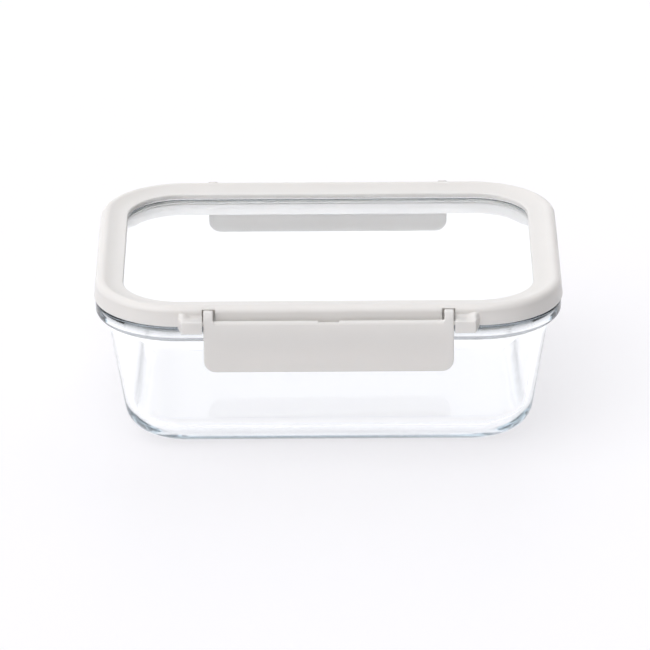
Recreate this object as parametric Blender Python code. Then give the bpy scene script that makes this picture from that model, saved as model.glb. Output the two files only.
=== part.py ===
"""Rectangular glass food container with a window lid and two wide snap latches.

Metres, +Z up. The origin is at the middle of the base, on the surface the bowl
stands on. The long side runs along X, and the latches are on the -Y and +Y sides.
Heights are measured from the base. An inset is a distance inwards from the lid's
outer outline, so every ring of the lid and the rim follows the same rounded
rectangle.
"""

import math

import bmesh
import bpy
from mathutils import Matrix

# Outline that the lid and the rim follow
LID_LENGTH = 0.2000
LID_DEPTH = 0.1500
LID_CORNER = 0.0365
CORNER_STEPS = 9
GAP = 0.0003

# Glass bowl
RIM_TOP = 0.0625
RIM_INSET = -0.0001
RIM_ROUND = 0.0010
RIM_INNER = 0.00735
FLANGE_UNDER = 0.0552
FLANGE_ROUND = 0.0030
WALL_TOP = 0.0540
WALL_INSET = 0.00504
WALL_SLOPE = 0.172
WALL_THICK = 0.0036
WALL_CORNER_TOP = 0.03165
WALL_CORNER_BASE = 0.0180
HEEL_OUTER = 0.0167
HEEL_INNER = 0.0135
FLOOR_THICK = 0.0050

# Lid
SKIRT_BOTTOM = 0.0628
SKIRT_FLARE = 0.0006
RIDGE = 0.0715
RIDGE_ROUND = 0.0030
WINDOW_INSET = 0.0120
WINDOW_EDGE = 0.0697
PANE_TOP = 0.0673
PANE_THICK = 0.0040
PANE_INSET = 0.0107
LEDGE = 0.0620
PLUG_BOTTOM = 0.0569
PLUG_OUTER = 0.0094
RISER_OUTER = 0.0086
RISER_INNER = 0.0095
GROOVE_INSET = 0.0044
GROOVE_TOP = 0.0670

# Latches and their hinges
HINGE_OUT = 0.0775
HINGE_Z = 0.0649
LATCH_HALF = 0.0531
ARM_WIDTH = 0.0041
EAR_BACK = 0.0032
SLOT_RADIUS = 0.00620
SLOT_OUTER = 0.00055
SLOT_INNER = 0.0009
PLATE_FRONT = 0.0796
PLATE_THICK = 0.0024
PLATE_TOP = 0.0662
PLATE_BOTTOM = 0.0435
PLATE_CORNER = 0.0052
CROWN_START = 0.0595
CROWN_RADIUS = 0.0300
HOOK_TOP = 0.0549
HOOK_THICK = 0.0026
HOOK_REACH = 0.0032
HOOK_HALF = 0.0490
NOTCH_HALF = 0.0045
NOTCH_DEPTH = 0.0008
LUG_RIB = 0.0582
LUG_TURN = 0.0621
LUG_END = 0.0640
LUG_FRONT = 0.0804
LUG_TOP = 0.0667
LUG_BOTTOM = 0.0613
LUG_LIFT = 0.0010
LUG_LEAN = 0.0005
RIB_TOP = 0.0689
STUB_RADIUS = 0.0010
STUB_LENGTH = 0.0034
BORE_RADIUS = 0.0013
BORE_LENGTH = 0.00485

# Colours
WARM_WHITE = (0.80, 0.78, 0.755)
INNER_WHITE = (0.74, 0.735, 0.725)
SILICONE = (0.82, 0.82, 0.81)
CLEAR_GLASS = (0.90, 0.95, 0.95)


def clear_scene():
    for obj in list(bpy.data.objects):
        bpy.data.objects.remove(obj, do_unlink=True)


def new_collection(name):
    collection = bpy.data.collections.new(name)
    bpy.context.scene.collection.children.link(collection)
    return collection


def plastic(name, colour, roughness):
    found = bpy.data.materials.new(name)
    found.use_nodes = True
    shader = found.node_tree.nodes["Principled BSDF"]
    shader.inputs["Base Color"].default_value = (*colour, 1.0)
    shader.inputs["Roughness"].default_value = roughness
    shader.inputs["Metallic"].default_value = 0.0
    return found


def clear_glass(name, colour):
    found = plastic(name, colour, 0.02)
    shader = found.node_tree.nodes["Principled BSDF"]
    shader.inputs["Transmission Weight"].default_value = 1.0
    shader.inputs["IOR"].default_value = 1.47
    return found


def arc(centre, radius, start, end, steps):
    """Points (a, b) on an arc, from start to end in degrees."""
    points = []
    for i in range(steps + 1):
        turn = math.radians(start + (end - start) * i / steps)
        points.append(
            (
                centre[0] + radius * math.cos(turn),
                centre[1] + radius * math.sin(turn),
            )
        )
    return points


def rounded_rectangle(inset, corner):
    """The lid's outline moved inwards, as (x, y) points running anticlockwise."""
    half_x = LID_LENGTH / 2 - inset - corner
    half_y = LID_DEPTH / 2 - inset - corner
    points = []
    corners = ((1, 1, 0), (-1, 1, 90), (-1, -1, 180), (1, -1, 270))
    for side_x, side_y, start in corners:
        centre = (side_x * half_x, side_y * half_y)
        points += arc(centre, corner, start, start + 90, CORNER_STEPS)
    return points


def curve_object(name, points, collection):
    """A closed flat curve through the points, as a 2D curve object."""
    data = bpy.data.curves.new(name, "CURVE")
    data.dimensions = "2D"
    data.fill_mode = "NONE"
    spline = data.splines.new("POLY")
    spline.points.add(len(points) - 1)
    for point, (a, b) in zip(spline.points, points):
        point.co = (a, b, 0.0, 1.0)
    spline.use_cyclic_u = True
    obj = bpy.data.objects.new(name, data)
    collection.objects.link(obj)
    return obj


def as_mesh(curve, name, collection):
    """A mesh object in the place of a curve object, with its caps welded on."""
    bpy.context.view_layer.update()
    graph = bpy.context.evaluated_depsgraph_get()
    data = bpy.data.meshes.new_from_object(curve.evaluated_get(graph))
    form = bmesh.new()
    form.from_mesh(data)
    bmesh.ops.remove_doubles(form, verts=form.verts, dist=1e-6)
    bmesh.ops.recalc_face_normals(form, faces=form.faces)
    form.to_mesh(data)
    form.free()
    data.name = name
    place = curve.matrix_world.copy()
    bpy.data.objects.remove(curve, do_unlink=True)
    obj = bpy.data.objects.new(name, data)
    collection.objects.link(obj)
    obj.matrix_world = place
    return obj


def swept_ring(name, profile, collection):
    """A ring whose section is a profile of (inset, height), swept round the lid.

    The path runs anticlockwise, so the sweep turns the section's +X inwards."""
    section = curve_object(name + "_section", profile, collection)
    path = curve_object(name + "_path", rounded_rectangle(0.0, LID_CORNER), collection)
    path.data.bevel_mode = "OBJECT"
    path.data.bevel_object = section
    ring = as_mesh(path, name, collection)
    bpy.data.objects.remove(section, do_unlink=True)
    return ring


def extrusion(name, outline, half_length, bevel, collection):
    """An outline of (outwards, height) pushed both ways along X, centred on x = 0."""
    curve = curve_object(name, outline, collection)
    curve.data.fill_mode = "BOTH"
    curve.data.extrude = half_length - bevel
    curve.data.bevel_depth = bevel
    curve.data.bevel_resolution = 1
    curve.data.offset = -bevel
    curve.matrix_world = Matrix(
        ((0, 0, -1, 0), (-1, 0, 0, 0), (0, 1, 0, 0), (0, 0, 0, 1))
    )
    return as_mesh(curve, name, collection)


def set_world(obj, x):
    """Moves an extrusion along X, keeping the way it is turned."""
    obj.matrix_world = Matrix.Translation((x, 0, 0)) @ obj.matrix_world


def bake_place(obj):
    """Puts an object's placing into its mesh, so its own origin is the world's."""
    obj.data.transform(obj.matrix_world)
    obj.matrix_world = Matrix.Identity(4)


def boolean(target, other, operation):
    modifier = target.modifiers.new(operation.title() + "_" + other.name, "BOOLEAN")
    modifier.operation = operation
    modifier.solver = "EXACT"
    modifier.object = other
    other.hide_render = True
    other.display_type = "WIRE"


def finish(obj, found):
    obj.data.materials.clear()
    obj.data.materials.append(found)
    obj.data.shade_smooth()
    obj.data.set_sharp_from_angle(angle=math.radians(30))


def wall_inset(height):
    return WALL_INSET + (WALL_TOP - height) * WALL_SLOPE


def wall_corner(height):
    rise = (WALL_CORNER_TOP - WALL_CORNER_BASE) / WALL_TOP
    return WALL_CORNER_BASE + rise * height


def heel_arc(radius, base, thickness, steps):
    """A heel from the flat base up to the wall, as (inset, height) points."""
    lean = math.degrees(math.atan(WALL_SLOPE))
    centre_z = base + radius
    wall = wall_inset(centre_z) + thickness
    centre = wall + radius / math.cos(math.radians(lean))
    points = arc((0.0, centre_z), radius, -90.0, -lean, steps)
    return [(centre - a, b) for a, b in points]


def bowl_outer():
    """Sections (inset, height, corner) up the outside, from the base to the rim."""
    sections = []
    for inset, height in heel_arc(HEEL_OUTER, 0.0, 0.0, 9):
        sections.append((inset, height, wall_corner(height)))
    for height in (0.030, 0.042, WALL_TOP):
        sections.append((wall_inset(height), height, wall_corner(height)))
    flange = [(0.00482, 0.05455), (0.00440, 0.05495), (0.00375, FLANGE_UNDER)]
    low = (RIM_INSET + FLANGE_ROUND, FLANGE_UNDER + FLANGE_ROUND)
    for a, b in arc((0.0, 0.0), FLANGE_ROUND, -90.0, 0.0, 5):
        flange.append((low[0] - a, low[1] + b))
    high = (RIM_INSET + RIM_ROUND, RIM_TOP - RIM_ROUND)
    for a, b in arc((0.0, 0.0), RIM_ROUND, 0.0, 90.0, 4):
        flange.append((high[0] - a, high[1] + b))
    for inset, height in flange:
        sections.append((inset, height, LID_CORNER - inset))
    return sections


def bowl_inner():
    """Sections down the inside, from the rim to the floor."""
    sections = []
    for a, b in arc((0.0, 0.0), RIM_ROUND, 90.0, 180.0, 4):
        inset = RIM_INNER - RIM_ROUND - a
        sections.append((inset, RIM_TOP - RIM_ROUND + b, LID_CORNER - inset))
    heel = heel_arc(HEEL_INNER, FLOOR_THICK, WALL_THICK, 8)
    down = [(wall_inset(h) + WALL_THICK, h) for h in (WALL_TOP, 0.042, 0.030)]
    for inset, height in down + heel[::-1]:
        corner = min(wall_corner(height) - WALL_THICK, LID_CORNER - inset)
        sections.append((inset, height, corner))
    return sections


def make_bowl(collection):
    """A loft between the sections, closed by the flat floor and the flat base."""
    form = bmesh.new()
    loops = []
    for inset, height, corner in bowl_outer() + bowl_inner():
        outline = rounded_rectangle(inset, corner)
        loops.append([form.verts.new((x, y, height)) for x, y in outline])
    for low, high in zip(loops[:-1], loops[1:]):
        for i in range(len(low)):
            j = (i + 1) % len(low)
            form.faces.new((low[i], low[j], high[j], high[i]))
    form.faces.new(loops[0][::-1])
    form.faces.new(loops[-1])
    bmesh.ops.recalc_face_normals(form, faces=form.faces)
    data = bpy.data.meshes.new("glass_bowl")
    form.to_mesh(data)
    form.free()
    bowl = bpy.data.objects.new("glass_bowl", data)
    collection.objects.link(bowl)
    return bowl


def frame_profile():
    """Section of the lid's frame: outer skirt, ridge, dished top, window edge."""
    outer = [(0.0004 - SKIRT_FLARE, SKIRT_BOTTOM)]
    outer += [(0.0001 - SKIRT_FLARE, SKIRT_BOTTOM + 0.00015)]
    outer += [(-SKIRT_FLARE, SKIRT_BOTTOM + 0.0005)]
    centre = (RIDGE_ROUND, RIDGE - RIDGE_ROUND)
    ridge = arc(centre, RIDGE_ROUND, 180.0, 90.0, 5)
    start = RIDGE_ROUND + 0.0008
    dish = []
    for i in range(6):
        along = i / 5
        inset = start + (WINDOW_INSET - 0.0005 - start) * along
        dish.append((inset, WINDOW_EDGE + 0.0017 * (1 - along) ** 2.2))
    edge = [(WINDOW_INSET - 0.0001, WINDOW_EDGE - 0.0002)]
    edge += [(WINDOW_INSET, WINDOW_EDGE - 0.0005)]
    under = [(WINDOW_INSET, PANE_TOP + GAP)]
    under += [(RISER_OUTER - GAP, PANE_TOP + GAP)]
    under += [(RISER_OUTER - GAP, GROOVE_TOP)]
    under += [(GROOVE_INSET, GROOVE_TOP), (GROOVE_INSET, SKIRT_BOTTOM)]
    return outer + ridge + dish + edge + under


def skirt_out(height):
    """How far out the skirt's face is at a height, below the ridge."""
    drop = (RIDGE - RIDGE_ROUND - height) / (RIDGE - RIDGE_ROUND - SKIRT_BOTTOM)
    return LID_DEPTH / 2 + SKIRT_FLARE * min(max(drop, 0.0), 1.0)


def lug_outline(reach, rib):
    """Side view of a hinge lug, as (out, height) points.

    reach goes from 1 for the whole lug to 0 where its end meets the skirt. rib is 0
    for the flat-topped box round the bore and 1 for the end that climbs higher."""
    skirt = LID_DEPTH / 2
    front = LUG_FRONT - LUG_LEAN - 0.0006
    low = LUG_BOTTOM + LUG_LIFT * (1.0 - reach)
    box = [(0.0751, 0.0679), (0.0756, 0.0671), (0.0762, 0.0668), (0.0772, LUG_TOP)]
    box += [(0.0784, LUG_TOP), (front, LUG_TOP)]
    high = [(0.0751, RIB_TOP), (0.0760, 0.0684), (0.0768, 0.0678), (0.0776, 0.0673)]
    high += [(0.0787, 0.0669), (front, LUG_TOP)]
    points = [(a + (c - a) * rib, b + (d - b) * rib) for (a, b), (c, d) in zip(box, high)]
    points += arc((front, LUG_TOP - 0.0006), 0.0006, 60.0, 0.0, 2)
    points += arc((LUG_FRONT - 0.0005, low + 0.0005), 0.0005, 0.0, -90.0, 3)
    points += [(skirt + 0.0012, low), (skirt + 0.0009, low + 0.0003)]
    points += [(skirt + 0.0007, SKIRT_BOTTOM + 0.0003)]
    moved = []
    for out, height in points:
        foot = skirt_out(height) - 0.0001
        moved.append((foot + (out - foot) * reach, height))
    inside = skirt - 0.0015
    return [(inside, points[0][1])] + moved + [(inside, SKIRT_BOTTOM + 0.0006)]


def lug_sections():
    """(x, outline) along a lug, from the slot to its slanted end at the skirt."""
    slope = LUG_END - LUG_TURN
    stations = [(LATCH_HALF + SLOT_OUTER, 1.0, 0.0)]
    for rise, rib in ((0.0, 0.0), (0.3, 0.22), (0.55, 0.58), (0.8, 0.9), (1.0, 1.0)):
        stations.append((LUG_RIB + rise * (LUG_TURN - LUG_RIB), 1.0, rib))
    for along, reach in ((0.12, 0.96), (0.3, 0.80), (0.8, 0.22), (1.0, 0.03)):
        stations.append((LUG_TURN + along * slope, reach, 1.0))
    return [(x, lug_outline(reach, rib)) for x, reach, rib in stations]


def make_lug(side, name, collection):
    """A loft through the lug's sections, on the left (-1) or the right (1)."""
    form = bmesh.new()
    loops = []
    for x, outline in lug_sections():
        loops.append([form.verts.new((side * x, -out, z)) for out, z in outline])
    for near, far in zip(loops[:-1], loops[1:]):
        for i in range(len(near)):
            j = (i + 1) % len(near)
            form.faces.new((near[i], near[j], far[j], far[i]))
    form.faces.new(loops[0][::-1])
    form.faces.new(loops[-1])
    bmesh.ops.recalc_face_normals(form, faces=form.faces)
    data = bpy.data.meshes.new(name)
    form.to_mesh(data)
    form.free()
    lug = bpy.data.objects.new(name, data)
    collection.objects.link(lug)
    return lug


def cylinder_x(name, radius, low, high, out, height, sides, collection):
    """A cylinder along X between two x values, on a side's hinge line."""
    form = bmesh.new()
    turn = Matrix.Rotation(math.radians(90), 4, "Y")
    place = Matrix.Translation(((low + high) / 2, -out, height)) @ turn
    bmesh.ops.create_cone(
        form,
        cap_ends=True,
        segments=sides,
        radius1=radius,
        radius2=radius,
        depth=high - low,
        matrix=place,
    )
    data = bpy.data.meshes.new(name)
    form.to_mesh(data)
    form.free()
    obj = bpy.data.objects.new(name, data)
    collection.objects.link(obj)
    return obj


def turned_copy(obj, name, collection):
    """The same piece on the rear side: half a turn about Z."""
    other = bpy.data.objects.new(name, obj.data)
    collection.objects.link(other)
    other.matrix_world = Matrix.Rotation(math.pi, 4, "Z") @ obj.matrix_world
    return other


def make_frame(collection, cutters):
    """The ring, four lugs joined to it, and a slot and a bore cut for each arm."""
    frame = swept_ring("lid_frame", frame_profile(), collection)
    first = LATCH_HALF + SLOT_OUTER
    joins = []
    cuts = []
    for side, label in ((-1, "left"), (1, "right")):
        joins.append(make_lug(side, "lug_" + label, cutters))
        inner = LATCH_HALF - ARM_WIDTH - SLOT_INNER
        ends = sorted((side * inner, side * first))
        slot = cylinder_x(
            "slot_" + label, SLOT_RADIUS, *ends, HINGE_OUT, HINGE_Z, 32, cutters
        )
        ends = sorted((side * (first - 0.001), side * (first + BORE_LENGTH)))
        bore = cylinder_x(
            "bore_" + label, BORE_RADIUS, *ends, HINGE_OUT, HINGE_Z, 20, cutters
        )
        cuts += [slot, bore]
    rear_joins = [turned_copy(p, p.name + "_rear", cutters) for p in joins]
    rear_cuts = [turned_copy(p, p.name + "_rear", cutters) for p in cuts]
    for piece in joins + rear_joins:
        boolean(frame, piece, "UNION")
    for piece in cuts + rear_cuts:
        boolean(frame, piece, "DIFFERENCE")
    return frame


def make_inner_ring(collection):
    """The lower ring: a ledge and riser that hold the pane, and a plug in the bowl."""
    profile = [
        (RISER_OUTER, PLUG_BOTTOM + 0.0055),
        (RISER_OUTER, PANE_TOP),
        (RISER_INNER, PANE_TOP),
        (RISER_INNER, LEDGE),
        (WINDOW_INSET, LEDGE),
        (WINDOW_INSET, PLUG_BOTTOM + 0.0005),
        (WINDOW_INSET - 0.00015, PLUG_BOTTOM + 0.00015),
        (WINDOW_INSET - 0.0005, PLUG_BOTTOM),
        (PLUG_OUTER + 0.0006, PLUG_BOTTOM),
        (PLUG_OUTER + 0.0002, PLUG_BOTTOM + 0.0002),
        (PLUG_OUTER, PLUG_BOTTOM + 0.0006),
        (PLUG_OUTER, PLUG_BOTTOM + 0.0047),
    ]
    return swept_ring("lid_inner_ring", profile, collection)


def make_pane(collection):
    """The window: a flat glass plate with its edge eased."""
    ease = 0.0003
    outline = rounded_rectangle(PANE_INSET, LID_CORNER - PANE_INSET)
    curve = curve_object("lid_window", outline, collection)
    curve.data.fill_mode = "BOTH"
    curve.data.extrude = PANE_THICK / 2 - ease
    curve.data.bevel_depth = ease
    curve.data.bevel_resolution = 0
    curve.data.offset = -ease
    curve.location.z = PANE_TOP - PANE_THICK / 2
    return as_mesh(curve, "lid_window", collection)


def make_pane_seal(collection):
    """A thin silicone angle between the pane and the ring's ledge and riser."""
    foot = PANE_TOP - PANE_THICK - GAP
    outer = RISER_INNER + GAP
    profile = [
        (outer, LEDGE + GAP),
        (outer, PANE_TOP - 0.0001),
        (PANE_INSET - GAP, PANE_TOP - 0.0001),
        (PANE_INSET - GAP, foot),
        (WINDOW_INSET - 0.0001, foot),
        (WINDOW_INSET - 0.0001, LEDGE + GAP),
    ]
    return swept_ring("window_seal", profile, collection)


def make_gasket(collection):
    """The silicone ring that the rim presses on, with a rounded sealing bead."""
    low = RIM_TOP + GAP
    inner = GROOVE_INSET + GAP
    outer = RISER_OUTER - GAP
    bead = arc((0.0059, low + 0.0010), 0.0010, 210.0, 330.0, 4)
    profile = [(inner, GROOVE_TOP - GAP), (outer, GROOVE_TOP - GAP)]
    profile += [(outer, low + 0.0017), (outer - 0.0005, low + 0.0012)]
    profile += bead[::-1]
    profile += [(inner, low + 0.0010)]
    return swept_ring("lid_gasket", profile[::-1], collection)


def crown(height):
    """How far out the latch's front face is at a height: flat, then leaning back."""
    rise = max(height - CROWN_START, 0.0)
    return PLATE_FRONT - CROWN_RADIUS + math.sqrt(CROWN_RADIUS**2 - rise**2)


def ear_outline():
    """Side view of an arm: up the plate's front, over the top, round the hinge."""
    front = [(crown(h) - 0.0001, h) for h in (0.0580, 0.0610, 0.0640, 0.0662, 0.0680)]
    top = [(0.0777, 0.0692), (0.0773, 0.0699), (0.0768, 0.07035)]
    top += [(0.0763, 0.0706), (0.07605, 0.0706), (0.0759, 0.0704)]
    round_back = arc((HINGE_OUT, HINGE_Z), EAR_BACK, 120.0, 235.0, 9)
    back = PLATE_FRONT - PLATE_THICK
    low = [(back, 0.0605), (back + 0.0002, 0.0580)]
    return front + top + round_back + low


def hook_outline():
    """Side view of the latch's hook: a ledge from the plate to under the flange."""
    back = PLATE_FRONT - PLATE_THICK
    tip = LID_DEPTH / 2 - HOOK_REACH
    low = HOOK_TOP - HOOK_THICK
    nose = arc((tip + 0.0010, HOOK_TOP - 0.0010), 0.0010, 90.0, 215.0, 5)
    root = [(back, low - 0.0006), (back + 0.0010, low - 0.0012)]
    return [(back + 0.0010, HOOK_TOP)] + nose + root


def plate_side():
    """Side view of the plate: flat back, crowned front, round top and foot."""
    back = PLATE_FRONT - PLATE_THICK
    foot = arc((PLATE_FRONT - 0.0008, PLATE_BOTTOM + 0.0008), 0.0008, -90.0, 0.0, 3)
    front = [(crown(h), h) for h in (CROWN_START, 0.0615, 0.0632, 0.0645)]
    top = [(0.07895, 0.0654), (0.0785, 0.06595), (0.0779, PLATE_TOP)]
    top += [(back + 0.0003, PLATE_TOP), (back, PLATE_TOP - 0.0003)]
    return foot + front + top + [(back, PLATE_BOTTOM + 0.0004), (back + 0.0004, PLATE_BOTTOM)]


def plate_face():
    """Front view of the plate, as (x, height) points: round lower corners only."""
    right = LATCH_HALF - PLATE_CORNER
    low = PLATE_BOTTOM + PLATE_CORNER
    over = PLATE_TOP + 0.0010
    points = arc((-right, low), PLATE_CORNER, 180.0, 270.0, 8)
    points += arc((right, low), PLATE_CORNER, 270.0, 360.0, 8)
    points += [(LATCH_HALF, over), (-LATCH_HALF, over)]
    return points


def make_plate(collection, cutters):
    """The wide plate: its side view pushed along X, cut to its front view."""
    plate = extrusion(
        "front_latch", plate_side(), LATCH_HALF + 0.0010, 0.0, collection
    )
    bake_place(plate)
    curve = curve_object("plate_face", plate_face(), cutters)
    curve.data.fill_mode = "BOTH"
    curve.data.extrude = PLATE_THICK
    middle = PLATE_FRONT - PLATE_THICK / 2
    turn = Matrix.Rotation(math.radians(90), 4, "X")
    curve.matrix_world = Matrix.Translation((0, -middle, 0)) @ turn
    face = as_mesh(curve, "plate_face", cutters)
    bake_place(face)
    boolean(plate, face, "INTERSECT")
    return plate


def make_notch(collection):
    bpy.ops.mesh.primitive_cube_add(size=1.0)
    notch = bpy.context.active_object
    for owner in list(notch.users_collection):
        owner.objects.unlink(notch)
    collection.objects.link(notch)
    notch.name = "plate_notch"
    size = (NOTCH_HALF * 2, PLATE_THICK * 2, NOTCH_DEPTH * 2)
    notch.data.transform(Matrix.Diagonal((*size, 1.0)))
    notch.location = (0.0, -(PLATE_FRONT - PLATE_THICK / 2), PLATE_TOP)
    bake_place_later(notch)
    return notch


def bake_place_later(obj):
    """As bake_place, for an object placed by its location only."""
    obj.data.transform(Matrix.Translation(obj.location))
    obj.location = (0.0, 0.0, 0.0)


def make_latches(collection, cutters):
    """The front latch, and the rear one as its copy turned half round."""
    latch = make_plate(collection, cutters)
    hook = extrusion("hook", hook_outline(), HOOK_HALF, 0.0004, cutters)
    bake_place(hook)
    boolean(latch, hook, "UNION")
    for side, label in ((-1, "left"), (1, "right")):
        ear = extrusion("ear_" + label, ear_outline(), ARM_WIDTH / 2, 0.0004, cutters)
        set_world(ear, side * (LATCH_HALF - ARM_WIDTH / 2))
        bake_place(ear)
        ends = (LATCH_HALF - 0.001, LATCH_HALF + STUB_LENGTH)
        ends = sorted(side * end for end in ends)
        stub = cylinder_x(
            "stub_" + label, STUB_RADIUS, *ends, HINGE_OUT, HINGE_Z, 20, cutters
        )
        boolean(latch, ear, "UNION")
        boolean(latch, stub, "UNION")
    boolean(latch, make_notch(cutters), "DIFFERENCE")
    bpy.context.view_layer.update()
    graph = bpy.context.evaluated_depsgraph_get()
    data = bpy.data.meshes.new_from_object(latch.evaluated_get(graph))
    latch.modifiers.clear()
    latch.data = data
    data.name = "latch"
    data.transform(Matrix.Translation((0.0, HINGE_OUT, -HINGE_Z)))
    latch.location = (0.0, -HINGE_OUT, HINGE_Z)
    rear = bpy.data.objects.new("rear_latch", data)
    collection.objects.link(rear)
    rear.location = (0.0, HINGE_OUT, HINGE_Z)
    rear.rotation_euler = (0.0, 0.0, math.pi)
    return latch, rear


def main():
    clear_scene()
    parts = new_collection("snap_lid_food_container")
    cutters = new_collection("cutters")
    glass = clear_glass("borosilicate_glass", CLEAR_GLASS)
    pane_glass = clear_glass("window_glass", CLEAR_GLASS)
    outer_plastic = plastic("lid_plastic", WARM_WHITE, 0.38)
    inner_plastic = plastic("inner_ring_plastic", INNER_WHITE, 0.40)
    latch_plastic = plastic("latch_plastic", WARM_WHITE, 0.36)
    seal_silicone = plastic("seal_silicone", SILICONE, 0.55)
    gasket_silicone = plastic("gasket_silicone", SILICONE, 0.55)

    finish(make_bowl(parts), glass)
    lid_pieces = (
        (make_frame(parts, cutters), outer_plastic),
        (make_inner_ring(parts), inner_plastic),
        (make_pane(parts), pane_glass),
        (make_pane_seal(parts), seal_silicone),
        (make_gasket(parts), gasket_silicone),
    )
    lid_lift = bpy.data.objects.new("lid_lift", None)
    parts.objects.link(lid_lift)
    lid_lift.location = (0.0, 0.0, SKIRT_BOTTOM)
    bpy.context.view_layer.update()
    back = lid_lift.matrix_world.inverted()
    for piece, found in lid_pieces:
        finish(piece, found)
        piece.parent = lid_lift
        piece.matrix_parent_inverse = back
    for latch in make_latches(parts, cutters):
        finish(latch, latch_plastic)
        latch.parent = lid_lift
        latch.matrix_parent_inverse = back


main()
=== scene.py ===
"""Looks of the glass food container with a window lid and two wide snap latches.

Metres, +Z up, in the row frame: the origin is at the middle of the base, the long
side runs along X, and the latches are on the -Y and +Y sides. An inset is a distance
inwards from the lid's outer outline, so each ring of the lid and of the rim follows
the same rounded rectangle. "Out" is a distance from the middle towards a latch.
"""

import math

import bmesh
import bpy
from mathutils import Matrix, Vector


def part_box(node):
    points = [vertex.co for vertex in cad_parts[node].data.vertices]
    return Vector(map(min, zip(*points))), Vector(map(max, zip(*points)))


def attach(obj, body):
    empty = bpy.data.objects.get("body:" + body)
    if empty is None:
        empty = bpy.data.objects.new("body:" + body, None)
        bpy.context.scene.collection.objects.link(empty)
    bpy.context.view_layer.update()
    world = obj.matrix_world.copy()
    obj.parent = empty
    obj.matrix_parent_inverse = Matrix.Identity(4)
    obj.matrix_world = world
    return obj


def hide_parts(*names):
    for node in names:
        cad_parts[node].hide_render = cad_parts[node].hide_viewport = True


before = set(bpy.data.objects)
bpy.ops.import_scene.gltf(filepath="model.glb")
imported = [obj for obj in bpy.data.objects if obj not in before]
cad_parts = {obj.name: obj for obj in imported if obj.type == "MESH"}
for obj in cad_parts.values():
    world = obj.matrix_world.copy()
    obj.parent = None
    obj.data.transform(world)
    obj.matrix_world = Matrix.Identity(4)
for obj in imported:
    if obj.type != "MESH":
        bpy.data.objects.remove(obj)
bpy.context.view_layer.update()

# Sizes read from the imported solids
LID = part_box("lid_frame")[1]
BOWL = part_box("glass_bowl")[1]
PANE_LOW, PANE_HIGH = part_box("lid_window")
RING_LOW, RING_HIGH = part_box("lid_inner_ring")
GASKET_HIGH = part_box("lid_gasket")[1]
LATCH_LOW, LATCH_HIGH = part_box("front_latch")

SKIRT_FLARE = 0.0006
HALF_X = LID.x - SKIRT_FLARE
GASKET_INSET = HALF_X - GASKET_HIGH.x
HALF_Y = GASKET_HIGH.y + GASKET_INSET
CORNER = 0.0365
GAP = 0.0003
CORNER_STEPS = 22
MERGE_DISTANCE = 2e-6
FLAT_DEGREES = 0.05
SHARP_DEGREES = 35.0
SMOOTH_DEGREES = 32.0

# Bowl
RIM_TOP = BOWL.z
RIM_INSET = HALF_X - BOWL.x
RIM_ROUND = 0.0010
RIM_INNER = 0.00735
FLANGE_UNDER = 0.0552
FLANGE_ROUND = 0.0030
WALL_TOP = 0.0540
WALL_INSET = 0.00504
WALL_SLOPE = 0.172
WALL_THICK = 0.0036
WALL_CORNER_TOP = 0.03165
WALL_CORNER_BASE = 0.0180
HEEL_OUTER = 0.0167
HEEL_INNER = 0.0135
FLOOR_THICK = 0.0050
# Painted shade on the glass, from 0 to 1: the rim's top rounding and the flange's
# underside are coloured dark where they would show the dark gap under the lid
RIM_SHADE = 0.94
FLANGE_SHADE = 0.80

# Lid
RIDGE = LID.z
SKIRT_BOTTOM = RIM_TOP + GAP
RIDGE_ROUND = 0.0030
WINDOW_INSET = 0.0120
WINDOW_EDGE = 0.0697
PANE_TOP = PANE_HIGH.z
PANE_BOTTOM = PANE_LOW.z
PANE_INSET = HALF_X - PANE_HIGH.x
LEDGE = 0.0620
PLUG_BOTTOM = RING_LOW.z
PLUG_OUTER = 0.0094
RISER_OUTER = HALF_X - RING_HIGH.x
RISER_INNER = 0.0095
GROOVE_INSET = GASKET_INSET - GAP
GROOVE_TOP = GASKET_HIGH.z + GAP
BEAD_RADIUS = 0.0010
BEAD_INSET = 0.0059
SKIRT_LIP = 0.0004
DISH_DEPTH = 0.0017
DISH_POWER = 2.2
DISH_STEPS = 14
WINDOW_ROUND = 0.0007
PANE_ROUND = 0.0006

# Latches and their hinges
HINGE_OUT = 0.0775
HINGE_Z = 0.0649
PLATE_FRONT = -LATCH_LOW.y
PLATE_BOTTOM = LATCH_LOW.z
ARM_TOP = LATCH_HIGH.z
LATCH_HALF = 0.0531
ARM_WIDTH = 0.0041
EAR_BACK = 0.0032
SLOT_RADIUS = 0.0062
SLOT_OUTER = 0.00055
SLOT_INNER = 0.0009
SLOT_EASE = 0.00018
HINGE_DEPTH = 0.0060
HINGE_MARGIN = 0.0008
PLATE_THICK = 0.0024
PLATE_TOP = 0.0662
PLATE_CORNER = 0.0052
EDGE_ROUND = 0.0013
EDGE_HALF = 0.0486
CROWN_START = 0.0595
CROWN_RADIUS = 0.0300
HOOK_TOP = 0.0549
HOOK_THICK = 0.0026
HOOK_REACH = 0.0032
HOOK_HALF = 0.0490
NOTCH_HALF = 0.0045
NOTCH_DEPTH = 0.0008
LUG_RIB = 0.0582
LUG_TURN = 0.0621
LUG_END = 0.0640
BOX_MARGIN = 0.00001
LUG_FRONT = LID.y - BOX_MARGIN
LUG_TOP = 0.0667
LUG_BOTTOM = 0.0613
LUG_LIFT = 0.0010
LUG_LEAN = 0.0005
RIB_TOP = 0.0689
STUB_RADIUS = 0.0010
STUB_LENGTH = 0.0034
LATCH_EASE = 0.0006
EAR_INSET = 0.0004
CUT_MARGIN = 0.002


# ---------------------------------------------------------------- mesh helpers


def arc(centre, radius, start, end, steps):
    """Points (a, b) on an arc, from start to end in degrees."""
    points = []
    for i in range(steps + 1):
        turn = math.radians(start + (end - start) * i / steps)
        a = centre[0] + radius * math.cos(turn)
        b = centre[1] + radius * math.sin(turn)
        points.append((a, b))
    return points


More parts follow.
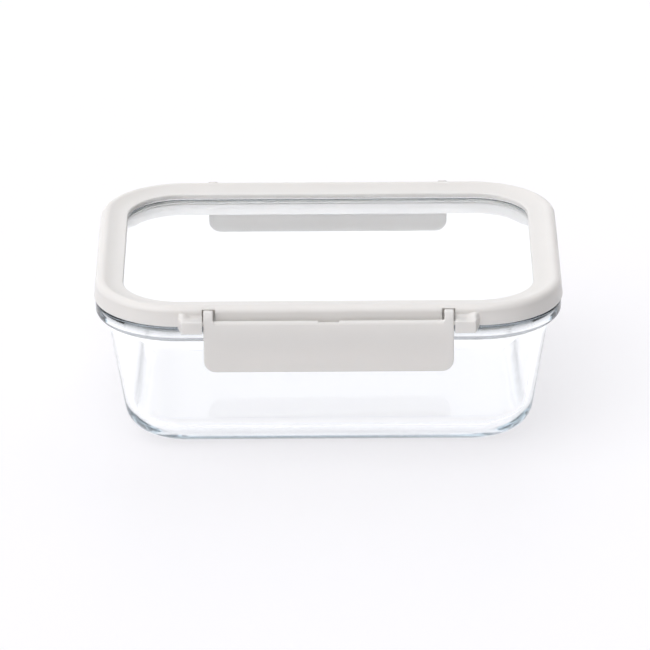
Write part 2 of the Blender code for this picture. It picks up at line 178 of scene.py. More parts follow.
def rounded(corners, steps=5):
    """A closed outline from (a, b, radius) corners, each rounded by its radius."""
    points = []
    for i, (a, b, radius) in enumerate(corners):
        here = Vector((a, b))
        if radius == 0.0:
            points.append((a, b))
            continue
        back = (Vector(corners[i - 1][:2]) - here).normalized()
        ahead = (Vector(corners[(i + 1) % len(corners)][:2]) - here).normalized()
        half = back.angle(ahead) / 2
        centre = here + (back + ahead).normalized() * (radius / math.sin(half))
        reach = radius / math.tan(half)
        first = here + back * reach - centre
        last = here + ahead * reach - centre
        turn = math.atan2(first.x * last.y - first.y * last.x, first.dot(last))
        for k in range(steps + 1):
            points.append(tuple(centre + Matrix.Rotation(turn * k / steps, 2) @ first))
    return points


def smooth(points, steps):
    """A smooth open curve through (a, b) points, which it keeps."""
    ends = [points[0], *points, points[-1]]
    curve = []
    for before, start, end, after in zip(ends, ends[1:], ends[2:], ends[3:]):
        for k in range(steps):
            t = k / steps
            pair = []
            for i in (0, 1):
                slope = (end[i] - before[i]) / 2
                turn = (after[i] - start[i]) / 2
                gap = end[i] - start[i]
                pair.append(
                    start[i]
                    + slope * t
                    + (3 * gap - 2 * slope - turn) * t**2
                    + (slope + turn - 2 * gap) * t**3
                )
            curve.append(tuple(pair))
    return curve + [points[-1]]


def rounded_rectangle(inset, corner, extra=()):
    """The lid's outline moved inwards, as (x, y) points running anticlockwise.

    extra holds distances from the middle at which the long sides get more points."""
    half_x = HALF_X - inset - corner
    half_y = HALF_Y - inset - corner
    points = []
    for side_x, side_y, start in ((1, 1, 0), (-1, 1, 90), (-1, -1, 180), (1, -1, 270)):
        centre = (side_x * half_x, side_y * half_y)
        points += arc(centre, corner, start, start + 90, CORNER_STEPS)
        if start in (0, 180):
            across = [-x for x in extra] + list(extra)
            for x in sorted(across, reverse=start == 0):
                points.append((x, side_y * (HALF_Y - inset)))
    return points


def made(name, form):
    """A mesh object from a bmesh, in the scene, with its faces turned outwards."""
    bmesh.ops.recalc_face_normals(form, faces=form.faces)
    data = bpy.data.meshes.new(name)
    form.to_mesh(data)
    form.free()
    obj = bpy.data.objects.new(name, data)
    bpy.context.scene.collection.objects.link(obj)
    return obj


def bridge(form, low, high):
    """Faces between two loops of vertices that have the same count."""
    for i in range(len(low)):
        j = (i + 1) % len(low)
        form.faces.new((low[i], low[j], high[j], high[i]))


def swept_ring(name, profile, extra=()):
    """A ring whose closed section is a profile of (inset, height) points."""
    form = bmesh.new()
    loops = []
    for inset, height in profile:
        outline = rounded_rectangle(inset, CORNER - inset, extra)
        loops.append([form.verts.new((x, y, height)) for x, y in outline])
    for low, high in zip(loops, loops[1:] + loops[:1]):
        bridge(form, low, high)
    return made(name, form)


def bar(name, outline, low, high):
    """An outline of (out, height) points pushed along X, on the -Y side."""
    form = bmesh.new()
    ends = [[form.verts.new((x, -a, b)) for a, b in outline] for x in sorted((low, high))]
    bridge(form, ends[0], ends[1])
    form.faces.new(ends[0])
    form.faces.new(ends[1])
    return made(name, form)


def loft(name, sections):
    """A closed body through (x, outline) sections of (out, height), on the -Y side."""
    form = bmesh.new()
    loops = [[form.verts.new((x, -a, b)) for a, b in points] for x, points in sections]
    for near, far in zip(loops[:-1], loops[1:]):
        bridge(form, near, far)
    form.faces.new(loops[0])
    form.faces.new(loops[-1])
    return made(name, form)


def slab(name, outline, near, far):
    """An outline of (x, height) points pushed along Y, between two out distances."""
    form = bmesh.new()
    ends = [[form.verts.new((a, -out, b)) for a, b in outline] for out in (near, far)]
    bridge(form, ends[0], ends[1])
    form.faces.new(ends[0])
    form.faces.new(ends[1])
    return made(name, form)


def combine(target, others, operation):
    """Applies one Boolean after another to target, and removes the other objects."""
    for other in others:
        modifier = target.modifiers.new(other.name, "BOOLEAN")
        modifier.operation = operation
        modifier.solver = "EXACT"
        modifier.object = other
    bpy.context.view_layer.update()
    graph = bpy.context.evaluated_depsgraph_get()
    data = bpy.data.meshes.new_from_object(target.evaluated_get(graph))
    target.modifiers.clear()
    target.data = data
    for other in others:
        bpy.data.objects.remove(other, do_unlink=True)


def turned(obj, name):
    """A copy of a piece on the rear side: half a turn about Z, kept in its mesh."""
    other = obj.copy()
    other.data = obj.data.copy()
    other.name = name
    other.data.transform(Matrix.Rotation(math.pi, 4, "Z"))
    bpy.context.scene.collection.objects.link(other)
    return other


def ease(obj, width, segments, wanted):
    """Rounds the sharp edges whose middle is wanted.

    Nothing clamps width, so it has to stay small next to the arcs that it meets."""
    form = bmesh.new()
    form.from_mesh(obj.data)
    bmesh.ops.remove_doubles(form, verts=form.verts, dist=MERGE_DISTANCE)
    bmesh.ops.dissolve_limit(
        form,
        angle_limit=math.radians(FLAT_DEGREES),
        verts=form.verts,
        edges=form.edges,
    )
    sharp = []
    for edge in form.edges:
        if len(edge.link_faces) != 2:
            continue
        middle = (edge.verts[0].co + edge.verts[1].co) / 2
        if edge.calc_face_angle(0.0) > math.radians(SHARP_DEGREES) and wanted(middle):
            sharp.append(edge)
    bmesh.ops.bevel(
        form,
        geom=sharp,
        offset=width,
        offset_type="OFFSET",
        segments=segments,
        profile=0.5,
        affect="EDGES",
        clamp_overlap=False,
    )
    form.to_mesh(obj.data)
    form.free()


def dress(obj, material, body, node, cut=False):
    """Smooth shading, material, body, the node it stands for and its finish.

    cut is for a mesh with cuts in it, whose large faces keep their own normals."""
    obj.data.materials.clear()
    obj.data.materials.append(material)
    obj.data.shade_smooth()
    obj.data.set_sharp_from_angle(angle=math.radians(SMOOTH_DEGREES))
    if cut:
        modifier = obj.modifiers.new("weighted", "WEIGHTED_NORMAL")
        modifier.keep_sharp = True
    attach(obj, body)
    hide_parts(node)


# ---------------------------------------------------------------- the bowl


def wall_inset(height):
    return WALL_INSET + (WALL_TOP - height) * WALL_SLOPE


def wall_corner(height):
    rise = (WALL_CORNER_TOP - WALL_CORNER_BASE) / WALL_TOP
    return WALL_CORNER_BASE + rise * height


def heel_arc(radius, base, thickness, steps):
    """A heel from the flat base up to the wall, as (inset, height) points."""
    lean = math.atan(WALL_SLOPE)
    centre_z = base + radius
    centre = wall_inset(centre_z) + thickness + radius / math.cos(lean)
    points = arc((0.0, centre_z), radius, -90.0, -math.degrees(lean), steps)
    return [(centre - a, b) for a, b in points]


def wall_heights(low, high, steps):
    return [low + (high - low) * i / steps for i in range(1, steps + 1)]


def bowl_sections():
    """(inset, height, corner, shade) up the outside, over the rim, down the inside.

    shade is how much painted shade the glass gets there: a dark colour where it would show
    the dark gap under the lid."""
    sections = []
    heel = heel_arc(HEEL_OUTER, 0.0, 0.0, 16)
    for inset, height in heel:
        sections.append((inset, height, wall_corner(height), 0.0))
    for height in wall_heights(heel[-1][1], WALL_TOP - 0.0006, 9):
        sections.append((wall_inset(height), height, wall_corner(height), 0.0))
    low = (RIM_INSET + FLANGE_ROUND, FLANGE_UNDER + FLANGE_ROUND)
    high = RIM_TOP - RIM_ROUND
    # Each rim point's third number is its painted shade
    rim = [(0.00500, 0.0539, 0.0), (0.00485, 0.0544, 0.0), (0.00463, 0.0548, 0.0)]
    rim += [(0.00428, 0.0551, 0.5), (0.00385, FLANGE_UNDER, FLANGE_SHADE)]
    for a, b in arc((0, 0), FLANGE_ROUND, -90, 0, 15):
        shade = FLANGE_SHADE if b < -0.20 * FLANGE_ROUND else 0.0
        rim.append((low[0] - a, low[1] + b, shade))
    for a, b in arc((0, 0), RIM_ROUND, 0, 90, 6):
        rim.append((RIM_INSET + RIM_ROUND - a, high + b, RIM_SHADE))
    for a, b in arc((0, 0), RIM_ROUND, 90, 180, 6):
        rim.append((RIM_INNER - RIM_ROUND - a, high + b, 0.0))
    for inset, height, shade in rim:
        sections.append((inset, height, CORNER - inset, shade))
    heel = heel_arc(HEEL_INNER, FLOOR_THICK, WALL_THICK, 14)
    inside = [(0.00775, 0.0590), (0.0083, 0.0562)]
    for height in wall_heights(WALL_TOP + 0.0004, heel[-1][1] + 0.003, 8):
        inside.append((wall_inset(height) + WALL_THICK, height))
    for inset, height in inside + heel[::-1]:
        corner = min(wall_corner(height) - WALL_THICK, CORNER - inset)
        sections.append((inset, height, corner, 0.0))
    return sections


def make_bowl():
    form = bmesh.new()
    loops = []
    shades = []
    for inset, height, corner, shade in bowl_sections():
        outline = rounded_rectangle(inset, corner)
        loops.append([form.verts.new((x, y, height)) for x, y in outline])
        shades += [shade] * len(outline)
    for low, high in zip(loops[:-1], loops[1:]):
        bridge(form, low, high)
    form.faces.new(loops[0][::-1])
    form.faces.new(loops[-1])
    bowl = made("bowl", form)
    # The shade values carry the painted shade to the glass's colour
    shade = bowl.data.attributes.new("shade", "FLOAT", "POINT")
    shade.data.foreach_set("value", shades)
    return bowl


# ---------------------------------------------------------------- the lid


def skirt_out(height):
    """How far out the skirt's face is at a height, below the ridge."""
    drop = (RIDGE - RIDGE_ROUND - height) / (RIDGE - RIDGE_ROUND - SKIRT_BOTTOM)
    return HALF_Y + SKIRT_FLARE * min(max(drop, 0.0), 1.0)


def frame_profile():
    """Section of the frame: skirt, ridge, dished top, window edge, gasket groove."""
    centre = (SKIRT_LIP - SKIRT_FLARE, SKIRT_BOTTOM + SKIRT_LIP)
    outer = arc(centre, SKIRT_LIP, 270.0, 180.0, 4)
    for height in (0.0640, 0.0650, 0.0662, 0.0676, 0.0686):
        outer.append((HALF_Y - skirt_out(height), height))
    ridge = arc((RIDGE_ROUND, RIDGE - RIDGE_ROUND), RIDGE_ROUND, 180.0, 90.0, 10)
    start = RIDGE_ROUND + 0.0008
    end = WINDOW_INSET - WINDOW_ROUND
    dish = []
    for i in range(DISH_STEPS + 1):
        along = i / DISH_STEPS
        inset = start + (end - start) * along
        dish.append((inset, WINDOW_EDGE + DISH_DEPTH * (1 - along) ** DISH_POWER))
    edge = arc((end, WINDOW_EDGE - WINDOW_ROUND), WINDOW_ROUND, 90.0, 0.0, 5)
    under = [(WINDOW_INSET, PANE_TOP + GAP), (RISER_OUTER - GAP, PANE_TOP + GAP)]
    under += [(RISER_OUTER - GAP, GROOVE_TOP), (GROOVE_INSET, GROOVE_TOP)]
    under += [(GROOVE_INSET, SKIRT_BOTTOM)]
    return outer + ridge + dish + edge[1:] + under


def lug_outline(reach, rib):
    """Side view of a hinge lug, as (out, height) points.

    reach goes from 1 for the whole lug to 0 where its end meets the skirt. rib is 0
    for the flat-topped box round the bore and 1 for the end that climbs higher."""
    low = LUG_BOTTOM + LUG_LIFT * (1.0 - reach)
    front = LUG_FRONT - LUG_LEAN - 0.0006
    box = [(0.0751, 0.0679), (0.0756, 0.0671), (0.0762, 0.0668), (0.0772, LUG_TOP)]
    box += [(0.0784, LUG_TOP), (front, LUG_TOP)]
    high = [(0.0751, RIB_TOP), (0.0760, 0.0684), (0.0768, 0.0678), (0.0776, 0.0673)]
    high += [(0.0787, 0.0669), (front, LUG_TOP)]
    top = [(a + (c - a) * rib, b + (d - b) * rib) for (a, b), (c, d) in zip(box, high)]
    points = smooth(top, 4)
    points += arc((front, LUG_TOP - 0.0006), 0.0006, 80.0, 0.0, 6)
    points += arc((LUG_FRONT - 0.0005, low + 0.0005), 0.0005, 0.0, -90.0, 6)
    points += [(HALF_Y + 0.0012, low), (HALF_Y + 0.0010, low + 0.0001)]
    points += [(HALF_Y + 0.0008, low + 0.0004), (HALF_Y + 0.0007, SKIRT_BOTTOM + 0.0003)]
    moved = []
    for out, height in points:
        foot = skirt_out(height) - 0.0001
        moved.append((foot + (out - foot) * reach, height))
    inside = HALF_Y - 0.0015
    return [(inside, points[0][1])] + moved + [(inside, SKIRT_BOTTOM + 0.0006)]


def make_lug(side):
    """A hinge lug: a box round the bore, then a rib that slants back to the skirt."""
    slope = LUG_END - LUG_TURN
    stations = [(LATCH_HALF + SLOT_OUTER, 1.0, 0.0)]
    for i in range(13):
        rise = i / 12
        across = LUG_RIB + (LUG_TURN - LUG_RIB) * rise
        stations.append((across, 1.0, rise**2 * (3 - 2 * rise)))
    turn = [(0.04, 0.995), (0.08, 0.98), (0.12, 0.955), (0.17, 0.915), (0.25, 0.835)]
    turn += [(0.45, 0.615), (0.60, 0.45), (0.75, 0.285), (0.83, 0.19), (0.90, 0.115)]
    turn += [(0.96, 0.065), (1.0, 0.04)]
    for along, reach in turn:
        stations.append((LUG_TURN + along * slope, reach, 1.0))
    return loft("lug", [(side * x, lug_outline(reach, rib)) for x, reach, rib in stations])


def in_hinge(point):
    """Whether a point is on the sharp edges of a lug's bore end or of a slot."""
    out = abs(point.y)
    across = abs(point.x)
    inner = LATCH_HALF - ARM_WIDTH - SLOT_INNER - HINGE_MARGIN
    outer = LATCH_HALF + SLOT_OUTER + HINGE_MARGIN
    return out > HALF_Y - HINGE_DEPTH and inner < across < outer


def make_frame():
    first = LATCH_HALF + SLOT_OUTER
    inner = LATCH_HALF - ARM_WIDTH - SLOT_INNER
    extra = (0.020, 0.040, inner - 0.0015, 0.0590, 0.0632)
    obj = swept_ring("frame", frame_profile(), extra)
    joins = []
    cuts = []
    for side in (-1, 1):
        joins.append(make_lug(side))
        circle = arc((HINGE_OUT, HINGE_Z), SLOT_RADIUS, 0.0, 354.0, 59)
        cuts.append(bar("slot", circle, side * inner, side * first))
        circle = arc((HINGE_OUT, HINGE_Z), STUB_RADIUS + GAP, 0.0, 345.0, 23)
        end = first + STUB_LENGTH + 0.0012
        cuts.append(bar("bore", circle, side * (first - 0.001), side * end))
    joins += [turned(piece, piece.name + "_rear") for piece in joins]
    cuts += [turned(piece, piece.name + "_rear") for piece in cuts]
    combine(obj, joins, "UNION")
    combine(obj, cuts, "DIFFERENCE")
    ease(obj, SLOT_EASE, 3, in_hinge)
    return obj


def make_inner_ring():
    """The lower ring: a ledge and riser round the pane, and a plug in the bowl."""
    corners = (
        (RISER_OUTER, PLUG_BOTTOM + 0.0055, 0.0003),
        (RISER_OUTER, PANE_TOP, 0.0002),
        (RISER_INNER, PANE_TOP, 0.0002),
        (RISER_INNER, LEDGE, 0.0002),
        (WINDOW_INSET, LEDGE, 0.0004),
        (WINDOW_INSET, PLUG_BOTTOM, 0.0008),
        (PLUG_OUTER, PLUG_BOTTOM, 0.0008),
        (PLUG_OUTER, PLUG_BOTTOM + 0.0047, 0.0003),
    )
    return swept_ring("inner_ring", rounded(corners))


def make_pane():
    """The window: a flat glass plate whose edge is ground round."""
    form = bmesh.new()
    loops = []
    top = arc((0.0, PANE_TOP - PANE_ROUND), PANE_ROUND, 90.0, 0.0, 5)
    low = arc((0.0, PANE_BOTTOM + PANE_ROUND), PANE_ROUND, 0.0, -90.0, 5)
    for a, height in [(-0.004, PANE_TOP)] + top + low + [(-0.004, PANE_BOTTOM)]:
        inset = PANE_INSET + PANE_ROUND - a
        outline = rounded_rectangle(inset, CORNER - inset)
        loops.append([form.verts.new((x, y, height)) for x, y in outline])
    for above, below in zip(loops[:-1], loops[1:]):
        bridge(form, above, below)
    form.faces.new(loops[0])
    form.faces.new(loops[-1])
    return made("window_pane", form)


def make_pane_seal():
    """A thin silicone angle between the pane and the ring's ledge and riser."""
    foot = PANE_BOTTOM - GAP
    outer = RISER_INNER + GAP
    corners = (
        (outer, LEDGE + GAP, 0.0002),
        (outer, PANE_TOP - 0.0001, 0.0002),
        (PANE_INSET - GAP, PANE_TOP - 0.0001, 0.0002),
        (PANE_INSET - GAP, foot, 0.0),
        (WINDOW_INSET - 0.0001, foot, 0.0001),
        (WINDOW_INSET - 0.0001, LEDGE + GAP, 0.0001),
    )
    return swept_ring("pane_seal", rounded(corners))


def make_gasket():
    """The silicone ring that the rim presses on, with a rounded sealing bead."""
    low = RIM_TOP + GAP
    outer = RISER_OUTER - GAP
    top = GROOVE_TOP - GAP
    bead = arc((BEAD_INSET, low + BEAD_RADIUS), BEAD_RADIUS, 330.0, 210.0, 10)
    profile = [(outer - 0.0005, low + 0.0012), *bead, (GASKET_INSET, low + 0.0010)]
    profile += [(GASKET_INSET, top - 0.0002), (GASKET_INSET + 0.0002, top)]
    profile += [(outer - 0.0002, top), (outer, top - 0.0002), (outer, low + 0.0017)]
    return swept_ring("gasket", profile)


# ---------------------------------------------------------------- the latches


def latch_face():
    """Front view of plate and arms as one outline: round feet, filleted corners."""
    inner = LATCH_HALF - ARM_WIDTH
    over = ARM_TOP + CUT_MARGIN
    corners = (
        (-LATCH_HALF, PLATE_BOTTOM, PLATE_CORNER),
        (LATCH_HALF, PLATE_BOTTOM, PLATE_CORNER),
        (LATCH_HALF, over, 0.0),
        (inner, over, 0.0),
        (inner, PLATE_TOP, 0.0008),
        (NOTCH_HALF, PLATE_TOP, 0.0002),
        (NOTCH_HALF, PLATE_TOP - NOTCH_DEPTH, 0.0002),
        (-NOTCH_HALF, PLATE_TOP - NOTCH_DEPTH, 0.0002),
        (-NOTCH_HALF, PLATE_TOP, 0.0002),
        (-inner, PLATE_TOP, 0.0008),
        (-inner, over, 0.0),
        (-LATCH_HALF, over, 0.0),
    )
    return rounded(corners, 8)


def crown(height):
    """How far out the latch's front is at a height: flat, then leaning back."""
    rise = max(height - CROWN_START, 0.0)
    return PLATE_FRONT - CROWN_RADIUS + math.sqrt(CROWN_RADIUS**2 - rise**2)


def arm_top():
    """An arm's rounded top from its front to its back."""
    top = [(crown(0.0680), 0.0680), (0.0777, 0.0692), (0.0773, 0.0699)]
    top += [(0.0768, 0.07035), (0.0763, ARM_TOP), (0.07605, ARM_TOP), (0.0759, 0.0704)]
    return smooth(top, 3)


def latch_side():
    """Side view of the plate, with the arm's top on it."""
    back = PLATE_FRONT - PLATE_THICK
    low = [(back, PLATE_BOTTOM - 0.001), (PLATE_FRONT, PLATE_BOTTOM - 0.001)]
    heights = [CROWN_START + (0.0675 - CROWN_START) * i / 12 for i in range(13)]
    front = [(crown(height), height) for height in heights]
    return low + front + arm_top() + [(0.0759, 0.0688), (back, 0.0676)]


def plate_edge():
    """Side view of what is cut away to round the plate's top edge."""
    centre = (crown(PLATE_TOP) - EDGE_ROUND, PLATE_TOP - EDGE_ROUND)
    far = PLATE_FRONT + 0.004
    high = PLATE_TOP + 0.001
    curve = arc(centre, EDGE_ROUND, 88.0, 10.0, 10)
    return curve + [(far, curve[-1][1]), (far, high), (curve[0][0], high)]


def off_plate_edge(point):
    """Whether a point is away from the plate's rounded top edge."""
    near = abs(point.x) < EDGE_HALF + 0.0002
    return not (near and point.z > PLATE_TOP - EDGE_ROUND - 0.0002)


def ear_side():
    """Side view of what an arm has behind the plate: the eye round the hinge."""
    back = PLATE_FRONT - PLATE_THICK
    rear = arc((HINGE_OUT, HINGE_Z), EAR_BACK, 120.0, 235.0, 14)
    low = [(back, 0.0605), (back + 0.0004, 0.0580), (back + 0.0012, 0.0580)]
    head = [(back + 0.0008, 0.0660), (0.0776, 0.0680), (0.0772, 0.0692)]
    head += [(0.0766, 0.0700), (0.0762, 0.07025), (0.0760, 0.0700)]
    return head + rear + low


def hook_side():
    """Side view of the hook: a ledge from the plate to under the flange."""
    back = PLATE_FRONT - PLATE_THICK
    tip = HALF_Y - HOOK_REACH
    low = HOOK_TOP - HOOK_THICK
    nose = arc((tip + 0.0010, HOOK_TOP - 0.0010), 0.0010, 90.0, 215.0, 8)
    root = [(back, low - 0.0006), (back + 0.0010, low - 0.0012)]
    return [(back + 0.0010, HOOK_TOP)] + nose + root


def make_latch(name):
    """A latch in one moulding: plate and arms, then its hook, ears and stubs.

    The plate's top edge is rounded before the slab is cut to its side view: cut
    afterwards, the Boolean loses the plate."""
    plate = slab(name, latch_face(), PLATE_FRONT + CUT_MARGIN, HINGE_OUT - 0.004)
    combine(plate, [bar("round", plate_edge(), -EDGE_HALF, EDGE_HALF)], "DIFFERENCE")
    across = LATCH_HALF + CUT_MARGIN
    combine(plate, [bar("side", latch_side(), -across, across)], "INTERSECT")
    ease(plate, LATCH_EASE, 4, off_plate_edge)
    ear_out = LATCH_HALF - EAR_INSET
    ear_in = LATCH_HALF - ARM_WIDTH + EAR_INSET
    parts = [bar("hook", hook_side(), -HOOK_HALF, HOOK_HALF)]
    for side in (-1, 1):
        parts.append(bar("ear", ear_side(), side * ear_out, side * ear_in))
        circle = arc((HINGE_OUT, HINGE_Z), STUB_RADIUS, 0.0, 345.0, 23)
        ends = (side * (LATCH_HALF - 0.001), side * (LATCH_HALF + STUB_LENGTH))
        parts.append(bar("stub", circle, *ends))
    combine(plate, parts, "UNION")
    return plate


# ---------------------------------------------------------------- materials

WARM_WHITE = (0.820, 0.798, 0.772)
# The ring's plastic is paler than the frame's as painted light, making up for the little
# light that reaches it under the pane
INNER_WHITE_PAINTED_LIGHT = (0.90, 0.89, 0.875)
SEAL_WHITE = (0.80, 0.80, 0.79)
GLASS_CLEAR = (1.0, 1.0, 1.0)
# The painted shade colour of the glass, where it would show the dark gap under the lid
GLASS_PAINTED_SHADE = (0.03, 0.05, 0.065)
GLASS_DEPTH = (0.48, 0.70, 0.82)
SOFT_RADIUS = (1.0, 0.95, 0.9)


def node(tree, kind, **values):
    """A shader node with its properties and unlinked inputs set by name."""
    found = tree.nodes.new(kind)
    for name, value in values.items():
        if hasattr(found, name):
            setattr(found, name, value)
        else:
            found.inputs[name.replace("_", " ")].default_value = value
    return found


def new_material(name):
    material = bpy.data.materials.new(name)
    material.use_nodes = True
    tree = material.node_tree
    return material, tree, tree.nodes["Principled BSDF"]


def noise(tree, scale, detail):
    """A noise in the piece's own space, which stays with it as it moves."""
    place = node(tree, "ShaderNodeTexCoord")
    texture = node(tree, "ShaderNodeTexNoise", Scale=scale, Detail=detail)
    tree.links.new(place.outputs["Object"], texture.inputs["Vector"])
    return texture.outputs["Fac"]


def ranged(tree, source, low, high):
    """A factor of about 0.3 to 0.7 spread between two values."""
    values = {"From_Min": 0.3, "From_Max": 0.7, "To_Min": low, "To_Max": high}
    spread = node(tree, "ShaderNodeMapRange", **values)
    tree.links.new(source, spread.inputs["Value"])
    return spread.outputs["Result"]


def bump(tree, source, depth, before=None):
    found = node(tree, "ShaderNodeBump", Strength=1.0, Distance=depth)
    tree.links.new(source, found.inputs["Height"])
    if before is not None:
        tree.links.new(before, found.inputs["Normal"])
    return found.outputs["Normal"]


def blended(tree, factor, first, second):
    mix = node(tree, "ShaderNodeMix", data_type="RGBA")
    tree.links.new(factor, mix.inputs["Factor"])
    colours = [s for s in mix.inputs if s.type == "RGBA"]
    colours[0].default_value = (*first, 1.0)
    colours[1].default_value = (*second, 1.0)
    return [s for s in mix.outputs if s.type == "RGBA"][0]


def moulded_plastic(name, colour, rough):
    """Satin moulded plastic: fine grain, faint flow marks, a little light inside."""
    material, tree, shader = new_material(name)
    flow = noise(tree, 38.0, 3.0)
    darker = tuple(c * 0.985 for c in colour)
    lighter = tuple(min(c * 1.012, 1.0) for c in colour)
    tree.links.new(blended(tree, flow, darker, lighter), shader.inputs["Base Color"])
    spread = ranged(tree, noise(tree, 140.0, 4.0), rough - 0.05, rough + 0.06)
    tree.links.new(spread, shader.inputs["Roughness"])
    soft = bump(tree, noise(tree, 120.0, 2.0), 0.000012)
    grain = bump(tree, noise(tree, 2600.0, 3.0), 0.0000035, soft)
    tree.links.new(grain, shader.inputs["Normal"])
    shader.inputs["Subsurface Weight"].default_value = 0.45
    shader.inputs["Subsurface Radius"].default_value = SOFT_RADIUS
    shader.inputs["Subsurface Scale"].default_value = 0.0035
    shader.inputs["IOR"].default_value = 1.48
    return material


def silicone(name, colour):
    """Soft translucent rubber with a dusty surface."""
    material, tree, shader = new_material(name)
    cloud = noise(tree, 60.0, 4.0)
    darker = tuple(c * 0.96 for c in colour)
    tree.links.new(blended(tree, cloud, darker, colour), shader.inputs["Base Color"])
    spread = ranged(tree, noise(tree, 500.0, 3.0), 0.46, 0.62)
    tree.links.new(spread, shader.inputs["Roughness"])
    fine = bump(tree, noise(tree, 1800.0, 2.0), 0.000006)
    tree.links.new(fine, shader.inputs["Normal"])
    shader.inputs["Subsurface Weight"].default_value = 0.35
    shader.inputs["Subsurface Radius"].default_value = SOFT_RADIUS
    shader.inputs["Subsurface Scale"].default_value = 0.0015
    shader.inputs["IOR"].default_value = 1.41
    return material


def clear_glass(name, wave_scale, wave_depth, painted_shade):
    """Glass with a faint sea-green depth, a mould's slow waves and light smears.

    A glass with painted shade has its colour darkened by its mesh's shade values, where it
    would show the dark gap under the lid."""
    material, tree, shader = new_material(name)
    shader.inputs["Base Color"].default_value = (*GLASS_CLEAR, 1.0)
    if painted_shade:
        shade = node(tree, "ShaderNodeAttribute", attribute_name="shade")
        tint = blended(tree, shade.outputs["Fac"], GLASS_CLEAR, GLASS_PAINTED_SHADE)
        tree.links.new(tint, shader.inputs["Base Color"])
    shader.inputs["Transmission Weight"].default_value = 1.0
    shader.inputs["IOR"].default_value = 1.49
    smear = ranged(tree, noise(tree, 45.0, 4.0), 0.0, 0.035)
    tree.links.new(smear, shader.inputs["Roughness"])
    waves = bump(tree, noise(tree, wave_scale, 1.0), wave_depth)
    tree.links.new(waves, shader.inputs["Normal"])
    depth = node(tree, "ShaderNodeVolumeAbsorption", Density=6.0)
    depth.inputs["Color"].default_value = (*GLASS_DEPTH, 1.0)
    output = tree.nodes["Material Output"]
    tree.links.new(depth.outputs["Volume"], output.inputs["Volume"])
    return material


def weighted(tree, source, weight, before):
    """before + source * weight, where before is a number or an output."""
    found = node(tree, "ShaderNodeMath", operation="MULTIPLY_ADD")
    tree.links.new(source, found.inputs[0])
    found.inputs[1].default_value = weight
    if isinstance(before, float):
        found.inputs[2].default_value = before
    else:
        tree.links.new(before, found.inputs[2])
    return found.outputs["Value"]


def clamped(tree, source):
    found = node(tree, "ShaderNodeClamp")
    tree.links.new(source, found.inputs["Value"])
    return found.outputs["Result"]


def studio_floor():
    """A back-lit white table, whose glow depends on the ray that meets it.

    It is dimmer to the camera and to light that bounces off the plastic, and
    brighter to light that left a diffuse surface and then went through glass."""
    material, tree, shader = new_material("floor_white")
    tone = noise(tree, 3.0, 2.0)
    pale = blended(tree, tone, (0.315, 0.312, 0.322), (0.325, 0.322, 0.332))
    tree.links.new(pale, shader.inputs["Base Color"])
    shader.inputs["Roughness"].default_value = 0.5
    shader.inputs["Specular IOR Level"].default_value = 0.3
    shader.inputs["Emission Color"].default_value = (0.985, 0.975, 1.0, 1.0)
    rays = node(tree, "ShaderNodeLightPath")
    within = node(tree, "ShaderNodeMath", operation="MULTIPLY")
    tree.links.new(rays.outputs["Diffuse Depth"], within.inputs[0])
    tree.links.new(rays.outputs["Is Transmission Ray"], within.inputs[1])
    through = clamped(tree, within.outputs["Value"])
    total = weighted(tree, rays.outputs["Is Camera Ray"], FLOOR_TO_CAMERA, FLOOR_GLOW)
    total = weighted(tree, rays.outputs["Is Diffuse Ray"], FLOOR_TO_PLASTIC, total)
    total = weighted(tree, through, FLOOR_THROUGH_GLASS, total)
    tree.links.new(total, shader.inputs["Emission Strength"])
    return material


# ---------------------------------------------------------------- the studio

FLOOR_RADIUS = 12.0
FLOOR_DROP = 0.00005
FLOOR_GLOW = 0.82
FLOOR_TO_CAMERA = -0.17
FLOOR_TO_PLASTIC = -0.45
FLOOR_THROUGH_GLASS = 1.60
SKY_BASE = 0.16
SKY_TO_CAMERA = 1.0

# Each patch of the sky: its direction, the angles of its full and outer edge in
# degrees, and its strength
SKY_PATCHES = (
    ((0.0, 1.0, 0.35), 35.0, 70.0, 0.80),
    ((-0.42, -0.50, 1.0), 20.0, 45.0, 2.28),
    ((-1.0, -0.25, 0.65), 22.0, 40.0, 0.25),
)


def make_floor():
    form = bmesh.new()
    circle = arc((0.0, 0.0), FLOOR_RADIUS, 0.0, 354.0, 59)
    form.faces.new([form.verts.new((x, y, -FLOOR_DROP)) for x, y in circle])
    floor = made("floor", form)
    floor.data.materials.append(studio_floor())


def lobe(tree, direction, towards, inner, outer, strength):
    """A soft patch of light in the sky, as a number: full inside inner degrees."""
    dot = node(tree, "ShaderNodeVectorMath", operation="DOT_PRODUCT")
    dot.inputs[1].default_value = Vector(towards).normalized()
    tree.links.new(direction, dot.inputs[0])
    edge = node(tree, "ShaderNodeMapRange", interpolation_type="SMOOTHSTEP")
    edge.inputs["From Min"].default_value = math.cos(math.radians(outer))
    edge.inputs["From Max"].default_value = math.cos(math.radians(inner))
    edge.inputs["To Min"].default_value = 0.0
    edge.inputs["To Max"].default_value = strength
    tree.links.new(dot.outputs["Value"], edge.inputs["Value"])
    return edge.outputs["Result"]


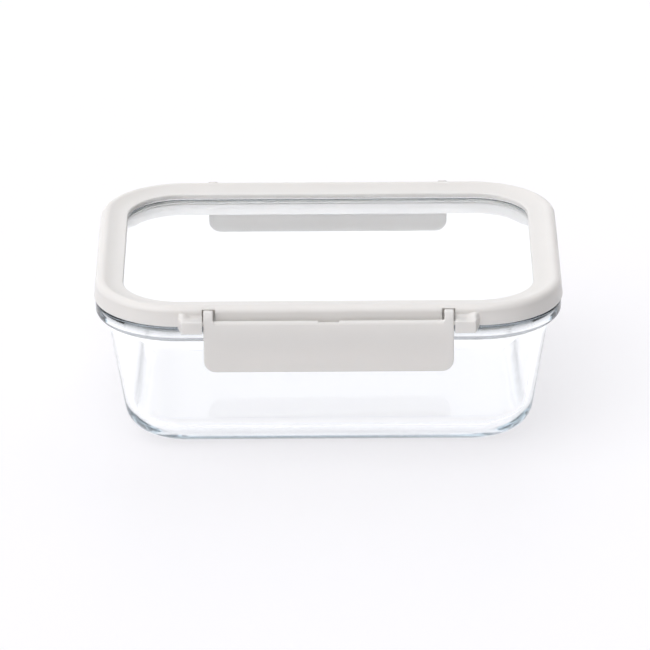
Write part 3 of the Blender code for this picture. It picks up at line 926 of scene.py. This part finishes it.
def make_sky():
    """A white studio as soft patches of light round a dim room.

    The camera sees plain white instead of the room and its patches."""
    world = bpy.data.worlds.new("studio")
    world.use_nodes = True
    bpy.context.scene.world = world
    tree = world.node_tree
    direction = node(tree, "ShaderNodeTexCoord").outputs["Generated"]
    total = None
    for towards, inner, outer, strength in SKY_PATCHES:
        patch = lobe(tree, direction, towards, inner, outer, strength)
        add = node(tree, "ShaderNodeMath", operation="ADD")
        tree.links.new(patch, add.inputs[0])
        if total is None:
            add.inputs[1].default_value = SKY_BASE
        else:
            tree.links.new(total, add.inputs[1])
        total = add.outputs["Value"]
    seen = node(tree, "ShaderNodeLightPath").outputs["Is Camera Ray"]
    choose = node(tree, "ShaderNodeMix", data_type="FLOAT")
    tree.links.new(seen, choose.inputs[0])
    tree.links.new(total, choose.inputs[2])
    choose.inputs[3].default_value = SKY_TO_CAMERA
    shader = tree.nodes["Background"]
    shader.inputs["Color"].default_value = (0.985, 0.985, 1.0, 1.0)
    tree.links.new(choose.outputs[0], shader.inputs["Strength"])


def make_camera():
    data = bpy.data.cameras.new("camera")
    data.sensor_width = 36.0
    data.lens = 349.8
    data.clip_start = 0.1
    data.clip_end = 100.0
    camera = bpy.data.objects.new("camera", data)
    bpy.context.scene.collection.objects.link(camera)
    aim = Vector((-0.00154, 0.0, 0.0325))
    distance = 2.7594
    tilt = math.radians(22.3)
    roll = math.radians(-0.338)
    back = Vector((0.0, -math.cos(tilt), math.sin(tilt)))
    camera.location = aim + back * distance
    turn = (-back).to_track_quat("-Z", "Y").to_matrix()
    camera.rotation_euler = (turn @ Matrix.Rotation(roll, 3, "Z")).to_euler()
    bpy.context.scene.camera = camera


# ---------------------------------------------------------------- the scene

# The thick glass at the bowl's heel turns dark where a ray runs out of bounces
GLASS_BOUNCES = 128
GLOSSY_BOUNCES = 32
DIFFUSE_BOUNCES = 6

lid_plastic = moulded_plastic("frame_plastic", WARM_WHITE, 0.36)
latch_plastic = moulded_plastic("latch_plastic_satin", WARM_WHITE, 0.34)
ring_plastic = moulded_plastic("ring_plastic", INNER_WHITE_PAINTED_LIGHT, 0.40)
seal_rubber = silicone("seal_rubber", SEAL_WHITE)
bowl_glass = clear_glass("pressed_glass", 30.0, 0.00006, painted_shade=True)
pane_glass = clear_glass("flat_glass", 12.0, 0.00002, painted_shade=False)

dress(make_bowl(), bowl_glass, "bowl", "glass_bowl")
dress(make_frame(), lid_plastic, "lid", "lid_frame", cut=True)
dress(make_inner_ring(), ring_plastic, "lid", "lid_inner_ring")
dress(make_pane(), pane_glass, "lid", "lid_window")
dress(make_pane_seal(), seal_rubber, "lid", "window_seal")
dress(make_gasket(), seal_rubber, "lid", "lid_gasket")
front = make_latch("latch_front")
rear = turned(front, "latch_rear")
dress(front, latch_plastic, "front_latch", "front_latch", cut=True)
dress(rear, latch_plastic, "rear_latch", "rear_latch", cut=True)

make_floor()
make_sky()
make_camera()
scene = bpy.context.scene
scene.view_settings.view_transform = "Standard"
scene.cycles.max_bounces = GLASS_BOUNCES
scene.cycles.transmission_bounces = GLASS_BOUNCES
scene.cycles.glossy_bounces = GLOSSY_BOUNCES
scene.cycles.diffuse_bounces = DIFFUSE_BOUNCES
